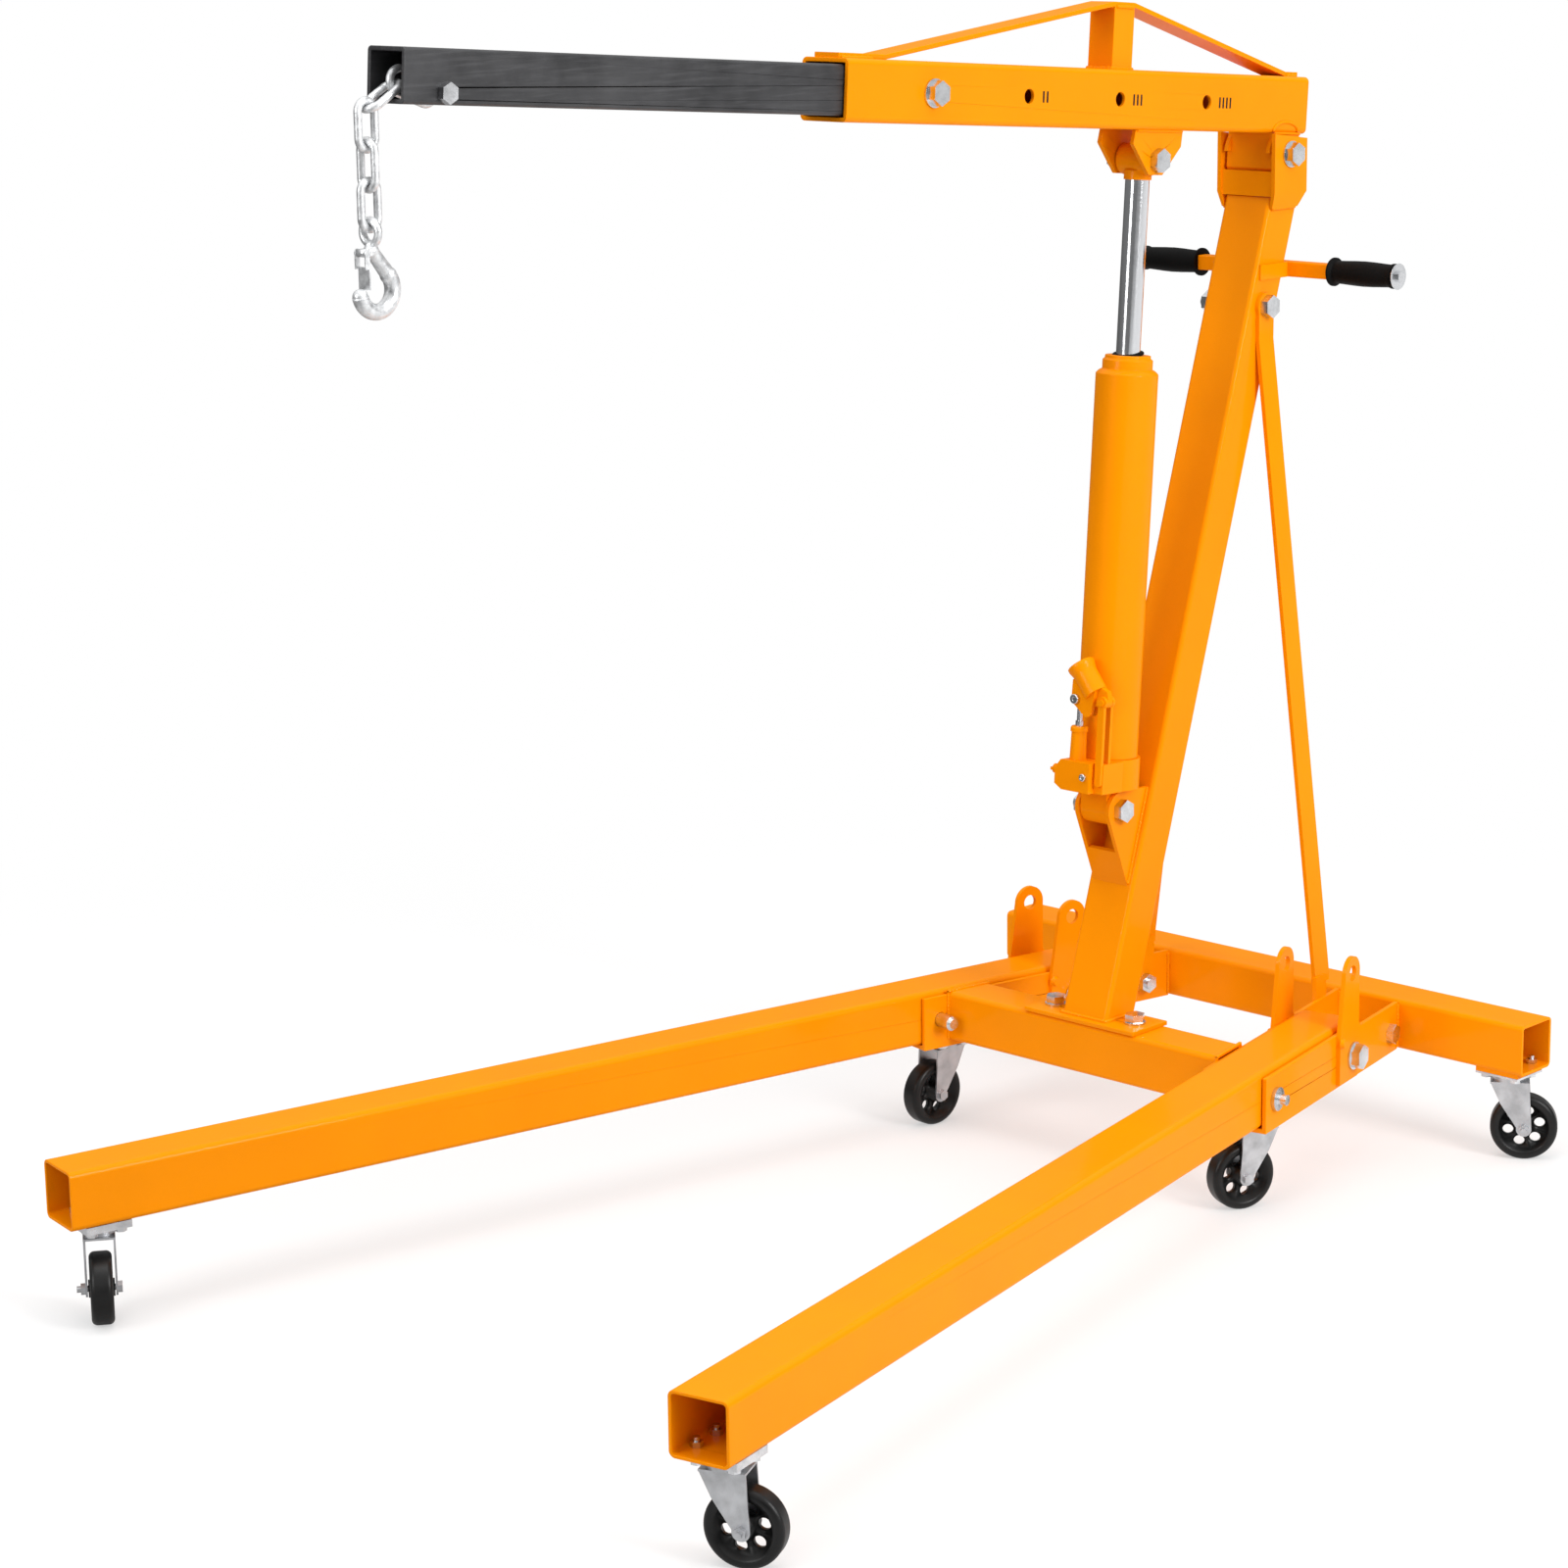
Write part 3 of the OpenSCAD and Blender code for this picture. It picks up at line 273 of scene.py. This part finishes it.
# ---------------------------------------------------------------- new pieces
def piece(name, mesh_or_bm, body, slot_name, material=None):
    """Links a new mesh, gives it its material and lets it ride on a CAD body."""
    if isinstance(mesh_or_bm, bmesh.types.BMesh):
        mesh = bpy.data.meshes.new(name)
        mesh_or_bm.to_mesh(mesh)
        mesh_or_bm.free()
    else:
        mesh = mesh_or_bm
    for face in mesh.polygons:
        face.use_smooth = True
    mesh.materials.append(material or MATERIALS[slot_name])
    obj = bpy.data.objects.new(name, mesh)
    scene.collection.objects.link(obj)
    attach(obj, body)
    return obj


# ---------------------------------------------------------------- local frames
def rotation_x(angle):
    return Matrix.Rotation(angle, 4, "X")


def frame_at(place, tilt):
    """Turns millimetres in a frame that leans back by tilt into metres in the row frame."""
    base = Matrix.Translation(Vector(place)) @ rotation_x(-tilt) @ Matrix.Scale(MM, 4)

    def put(x, y, z):
        return base @ Vector((x, y, z))

    return put


reach_axis = joints["boom_reach"]["axis"]
at_boom = frame_at(joints["boom_lift"]["pos_m"], math.atan2(-reach_axis[2], reach_axis[1]))
ram_axis = joints["rod_extend"]["axis"]
at_ram = frame_at(joints["ram_tilt"]["pos_m"], math.atan2(ram_axis[1], ram_axis[2]))


def at_leg(side):
    """The leg's own frame: x outwards from its middle, y along it with -y forward, z from the floor."""
    joint = joints[side + "_leg_fold"]
    sign = 1 if side == "left" else -1
    along, across = abs(joint["axis"][0]), abs(joint["axis"][1])
    out = Vector((sign * along, across, 0.0))
    back = Vector((-sign * across, along, 0.0))
    origin = Vector(joint["pos_m"])
    origin.z = 0.0

    def put(x, y, z):
        return origin + (out * x + back * y + Vector((0, 0, z))) * MM

    return put


def leg_splay(side):
    axis = joints[side + "_leg_fold"]["axis"]
    return math.atan2(abs(axis[1]), abs(axis[0]))


def world(x, y, z):
    return Vector((x, y, z)) * MM


# boom sizes in its own frame, in millimetres from the hinge
LUG_TOP = 26.5
BOOM_TOP = 101.5
BOOM_HALF = 37.5
POST_Y, POST_HALF, POST_HIGH = -332.0, 20.0, 78.0
CLEVIS_FACE, CLEVIS_ENDS = 30.2, (-307, -214)
LUG_ENDS = (-24, 32)
BOOM_FRONT = -864.0
HOLE_PITCH = 179.0
FIRST_HOLE = BOOM_FRONT + 153.0

# depth of the leaning mast, level; faces of the sleeve and arm plates from the leg's middle
MAST_DEPTH = 62.95
SLEEVE_FACE = -45.4
PLATE_FACES = (-51.2, -44.8, 44.8, 51.2)

# pump and ram, in the ram's frame: the rocker's pin and its end face, the plug screw, the cap
PUMP_Y = -60.0
PIN_Z = 152.0
PIN_FACE = PUMP_Y - 10.1
PLUG_SCREW = (24, -76.2, 51)
CAP_TOP = 600.0


# ---------------------------------------------------------------- weld beads and marks
def bead(bm, path, radius, closed=False, seed=1):
    """Adds a rippled weld bead along a line of points in metres to a bmesh."""
    rng = random.Random(seed)
    radius *= MM
    points = [Vector(p) for p in path]
    if closed:
        points.append(points[0])
    dense = []
    for a, b in zip(points, points[1:]):
        steps = max(1, round((b - a).length / (radius * 0.42)))
        dense += [a.lerp(b, k / steps) for k in range(steps)]
    if not closed:
        dense.append(points[-1])
    total = len(dense)
    rings = []
    for k, centre in enumerate(dense):
        before = dense[k - 1] if closed or k else dense[0]
        after = dense[(k + 1) % total] if closed or k < total - 1 else dense[-1]
        way = (after - before).normalized()
        side = way.cross(Vector((0, 0, 1)))
        if side.length < 0.1:
            side = way.cross(Vector((0, 1, 0)))
        side.normalize()
        up = side.cross(way)
        ripple = 1 + 0.10 * math.sin(k * 1.26) + rng.uniform(-0.05, 0.05)
        if not closed and k in (0, total - 1):
            ripple *= 0.45
        size = radius * ripple
        rings.append([bm.verts.new(centre + (side * math.cos(t) + up * math.sin(t)) * size)
                      for t in (math.tau * j / 8 for j in range(8))])
    pairs = list(zip(rings, rings[1:]))
    if closed:
        pairs.append((rings[-1], rings[0]))
    for one, two in pairs:
        for j in range(8):
            bm.faces.new((one[j], one[(j + 1) % 8], two[(j + 1) % 8], two[j]))
    if not closed:
        bm.faces.new(list(reversed(rings[0])))
        bm.faces.new(rings[-1])


def beads(name, body, lines, radius=2.4):
    """One piece of several weld beads; each line is (points, closed)."""
    bm = bmesh.new()
    for k, (path, closed) in enumerate(lines):
        bead(bm, path, radius, closed, seed=len(name) * 31 + k)
    bmesh.ops.recalc_face_normals(bm, faces=bm.faces)
    return piece(name, bm, body, "orange_paint")


def box_corners(node):
    lo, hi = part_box(node)
    return [c / MM for c in lo], [c / MM for c in hi]


SIDES = (-1, 1)


def weld_mast():
    """Foot of the mast, cheeks of its head and the ears of the ram."""
    mast_lo, mast_hi = box_corners("mast_tube")
    foot_hi = box_corners("mast_foot")[1]
    front, half, z = mast_lo[1], mast_hi[0], foot_hi[2] + 0.8
    back = foot_hi[1] - 1.0
    corners = [world(-half, back, z), world(-half, front, z), world(half, front, z), world(half, back, z)]
    beads("weld_mast_foot", "base", [(corners, False)], 2.8)
    head_lo, head_hi = box_corners("mast_head")
    lines = [([world(s * (half + 1.5), head_lo[1] + 5, head_lo[2]),
               world(s * (half + 1.5), head_hi[1] - 14, head_lo[2])], False) for s in SIDES]
    beads("weld_head", "base", lines, 2.8)
    ear_lo, ear_hi = box_corners("ram_ears")
    lean = (mast_hi[1] - mast_lo[1] - MAST_DEPTH) / (mast_hi[2] - mast_lo[2])
    ends = [(front + (z - mast_lo[2]) * lean - 1, z) for z in (ear_lo[2] + 3, ear_hi[2] - 3)]
    lines = [([world(s * ear_hi[0], y, z) for y, z in ends], False) for s in SIDES]
    beads("weld_ears", "base", lines, 2.6)


def weld_base():
    """Crossbeams to the sleeves and the arm plates."""
    beam_lo, beam_hi = box_corners("front_crossbeam")
    rear_lo, rear_hi = box_corners("rear_crossbeam")
    lines = []
    for side in ("left", "right"):
        put = at_leg(side)
        splay = leg_splay(side)
        pivot = put(0, 0, 0) / MM

        def along(line_y, out):
            """Where a line across the crane meets a face that runs along the leg."""
            return (line_y - pivot.y - out * math.sin(splay)) / math.cos(splay)

        front, back = (along(y, SLEEVE_FACE) for y in (beam_lo[1], beam_hi[1]))
        low, high = beam_lo[2] + 2, beam_hi[2]
        lines.append(([put(SLEEVE_FACE, front, low), put(SLEEVE_FACE, front, high),
                       put(SLEEVE_FACE, back, high), put(SLEEVE_FACE, back, low)], False))
        for out in PLATE_FACES:
            y = along(rear_lo[1], out) - 1
            lines.append(([put(out, y, rear_lo[2] + 9), put(out, y, rear_hi[2] - 6)], False))
    beads("weld_base", "base", lines, 2.4)


def weld_truss():
    """Post and bent strap on top of the boom."""
    top, peak = BOOM_TOP + 0.6, BOOM_TOP + POST_HIGH
    front, back = POST_Y - POST_HALF, POST_Y + POST_HALF
    lines = [([at_boom(-POST_HALF, front, top), at_boom(POST_HALF, front, top),
               at_boom(POST_HALF, back, top), at_boom(-POST_HALF, back, top)], True)]
    for y in (front, back):
        lines.append(([at_boom(-POST_HALF + 2, y, peak), at_boom(POST_HALF - 2, y, peak)], False))
    lines += [([at_boom(s * POST_HALF, POST_Y - 17, peak), at_boom(s * POST_HALF, POST_Y + 17, peak)],
               False) for s in SIDES]
    for start, end in ((BOOM_FRONT + 6, BOOM_FRONT + 60), (18, 40)):
        lines += [([at_boom(s * POST_HALF, start, top), at_boom(s * POST_HALF, end, top)], False)
                  for s in SIDES]
    lines.append(([at_boom(-18, 43.5, top + 1), at_boom(18, 43.5, top + 1)], False))
    beads("weld_truss", "boom", lines, 2.6)


def weld_boom():
    """Clevis plates and the hinge lug under the boom."""
    lines = [([at_boom(s * CLEVIS_FACE, y, LUG_TOP - 0.8) for y in CLEVIS_ENDS], False) for s in SIDES]
    lines += [([at_boom(s * (BOOM_HALF - 0.5), y, LUG_TOP - 0.2) for y in LUG_ENDS], False) for s in SIDES]
    for s in SIDES:
        arc = [at_boom(s * (BOOM_HALF + 0.2), 27 * math.cos(t), LUG_TOP + 2 + 13 * math.sin(t))
               for t in (math.pi * k / 14 for k in range(15))]
        lines.append((arc, False))
    beads("weld_boom", "boom", lines, 2.2)


def build_marks():
    """Bars beside the position holes, one to four, in place of load figures."""
    for s, name in ((1, "marks_left"), (-1, "marks_right")):
        bm = bmesh.new()
        for hole in range(4):
            for bar in range(hole + 1):
                y = FIRST_HOLE + hole * HOLE_PITCH + 27 + bar * 7.5
                made = bmesh.ops.create_cube(bm, size=1.0)["verts"]
                for v in made:
                    x, dy, dz = v.co
                    v.co = at_boom(s * (BOOM_HALF + 0.02 + (x + 0.5) * 0.16), y + dy * 3.2,
                                   64.0 + dz * 14.0)
        piece(name, bm, "boom", "black_rubber", INK)


# ---------------------------------------------------------------- turned fittings
def turned(name, body, slot_name, centre, way, profile, sides=36):
    """A closed turned ring or head: profile holds (radius, height) in millimetres along way."""
    bm = bmesh.new()
    turn = Vector(way).to_track_quat("Z", "Y")
    rings = []
    for radius, height in profile:
        if radius == 0:
            rings.append([bm.verts.new(Vector(centre) + turn @ Vector((0, 0, height)) * MM)])
            continue
        rings.append([bm.verts.new(Vector(centre) + turn @ Vector(
            (radius * math.cos(t), radius * math.sin(t), height)) * MM)
            for t in (math.tau * k / sides for k in range(sides))])
    for one, two in zip(rings, rings[1:]):
        for k in range(sides):
            a, b = one[k % len(one)], one[(k + 1) % len(one)]
            c, d = two[(k + 1) % len(two)], two[k % len(two)]
            bm.faces.new(list(dict.fromkeys((a, b, c, d))))
    bmesh.ops.remove_doubles(bm, verts=bm.verts, dist=1e-7)
    bmesh.ops.recalc_face_normals(bm, faces=bm.faces)
    made = piece(name, bm, body, slot_name)
    bevel = made.modifiers.new("bevel", "BEVEL")
    bevel.width, bevel.segments = 0.25 * MM, 2
    bevel.limit_method, bevel.angle_limit = "ANGLE", math.radians(35)
    made.modifiers.new("normals", "WEIGHTED_NORMAL").keep_sharp = True
    return made


def screw_head(name, body, centre, way, radius, height, socket):
    """A cheese head with a round socket, over the plain head of the solid."""
    turned(name, body, "zinc_plate", centre, way, [
        (0, 0), (radius, 0), (radius, height - 0.8), (radius - 0.8, height),
        (socket, height), (socket, height - 0.9), (0, height - 0.9),
    ])


def build_fittings():
    front = at_ram(0, -1, 0) - at_ram(0, 0, 0)
    up = at_ram(0, 0, 1) - at_ram(0, 0, 0)
    screw_head("pump_pin_head", "pump_socket", at_ram(0, PIN_FACE, PIN_Z), front, 6.6, 5.4, 2.6)
    screw_head("plug_screw_head", "ram", at_ram(*PLUG_SCREW), front, 5.0, 4.2, 2.4)
    turned("rod_wiper", "ram", "black_rubber", at_ram(0, 0, CAP_TOP), up, [
        (16.15, 0.1), (21, 0.1), (21, 2.2), (19.6, 3.4), (17.4, 3.6), (16.15, 2.4), (16.15, 0.1),
    ])


weld_mast()
weld_base()
weld_truss()
weld_boom()
build_marks()
build_fittings()


# ---------------------------------------------------------------- stage
def build_floor():
    """A pale floor that fades into a white studio away from the crane."""
    bpy.ops.mesh.primitive_plane_add(size=80, location=(0, 0, 0))
    floor = bpy.context.object
    floor.name = "floor"
    t = Tree("pale_floor")
    t.set(Roughness=0.9, Base_Color=(0.86, 0.86, 0.86, 1), Specular_IOR_Level=0.1)
    reach = t.node("ShaderNodeVectorMath", operation="LENGTH")
    t.link(t.place, reach.inputs[0])
    fade = t.node("ShaderNodeMapRange", interpolation_type="SMOOTHSTEP")
    t.link(reach.outputs["Value"], fade.inputs["Value"])
    for key, value in (("From Min", 1.0), ("From Max", 2.5), ("To Min", 0.5)):
        fade.inputs[key].default_value = value
    # what the crane mirrors of the floor is bright to its left rear and dim to its right front
    side = t.node("ShaderNodeVectorMath", operation="DOT_PRODUCT")
    side.inputs[1].default_value = (0.2, 0.2, 0.0)
    t.link(t.place, side.inputs[0])
    shift = t.node("ShaderNodeMath", operation="ADD")
    shift.inputs[1].default_value = 0.5
    t.link(side.outputs["Value"], shift.inputs[0])
    shade = t.grey_ramp(shift.outputs[0], 0.12, 1.0, 0.3, 0.62)
    rays = t.node("ShaderNodeLightPath")
    glow = t.node("ShaderNodeEmission")
    t.link(t.mix(rays.outputs["Is Camera Ray"], shade, (1.0, 1.0, 1.0, 1.0)), glow.inputs["Color"])
    both = t.node("ShaderNodeMixShader")
    t.link(fade.outputs["Result"], both.inputs["Fac"])
    t.link(t.shader.outputs["BSDF"], both.inputs[1])
    t.link(glow.outputs["Emission"], both.inputs[2])
    t.link(both.outputs["Shader"], t.nodes["Material Output"].inputs["Surface"])
    floor.data.materials.append(t.material)


def build_world():
    """White backdrop; what it sheds on the crane comes mostly from overhead, like a soft ceiling."""
    world = bpy.data.worlds.new("studio")
    world.use_nodes = True
    tree = world.node_tree
    place = tree.nodes.new("ShaderNodeTexCoord")
    split = tree.nodes.new("ShaderNodeSeparateXYZ")
    ramp = tree.nodes.new("ShaderNodeValToRGB")
    low, high = ramp.color_ramp.elements
    low.position, low.color = 0.22, (0.2, 0.2, 0.2, 1)
    high.position, high.color = 0.62, (1, 1, 1, 1)
    rays = tree.nodes.new("ShaderNodeLightPath")
    seen = tree.nodes.new("ShaderNodeMix")
    seen.data_type = "RGBA"
    seen.inputs[7].default_value = (1, 1, 1, 1)
    back = tree.nodes["Background"]
    tree.links.new(place.outputs["Generated"], split.inputs[0])
    tree.links.new(split.outputs["Z"], ramp.inputs["Fac"])
    tree.links.new(rays.outputs["Is Camera Ray"], seen.inputs[0])
    tree.links.new(ramp.outputs["Color"], seen.inputs[6])
    tree.links.new(seen.outputs[2], back.inputs["Color"])
    back.inputs["Strength"].default_value = 1.0
    scene.world = world


def area(name, place, aim, size, power):
    data = bpy.data.lights.new(name, "AREA")
    data.shape = "RECTANGLE"
    data.size, data.size_y = size
    data.energy = power
    obj = bpy.data.objects.new(name, data)
    obj.location = place
    way = Vector(aim) - Vector(place)
    obj.rotation_euler = way.to_track_quat("-Z", "Y").to_euler()
    scene.collection.objects.link(obj)


def build_stage():
    build_floor()
    build_world()
    area("key", (4.4, 0.2, 2.6), (0.1, 0.1, 0.8), (1.6, 2.2), 145)
    area("front", (-0.8, -5.0, 2.4), (0.0, 0.0, 0.8), (2.0, 2.4), 84)
    area("top", (0.3, -0.6, 4.6), (0.0, 0.0, 0.5), (2.6, 2.6), 55)


def build_camera():
    data = bpy.data.cameras.new("camera")
    data.sensor_width = 36
    data.lens = CAMERA_LENS
    data.clip_end = 60
    camera = bpy.data.objects.new("camera", data)
    camera.location = CAMERA_PLACE
    azimuth, elevation, roll = (
        math.radians(v) for v in (CAMERA_AZIMUTH, CAMERA_ELEVATION, CAMERA_ROLL))
    away = Vector((math.sin(azimuth) * math.cos(elevation),
                   -math.cos(azimuth) * math.cos(elevation), math.sin(elevation)))
    turn = away.to_track_quat("Z", "Y").to_matrix() @ Matrix.Rotation(roll, 3, "Z")
    camera.rotation_euler = turn.to_euler()
    scene.collection.objects.link(camera)
    scene.camera = camera


build_stage()
build_camera()
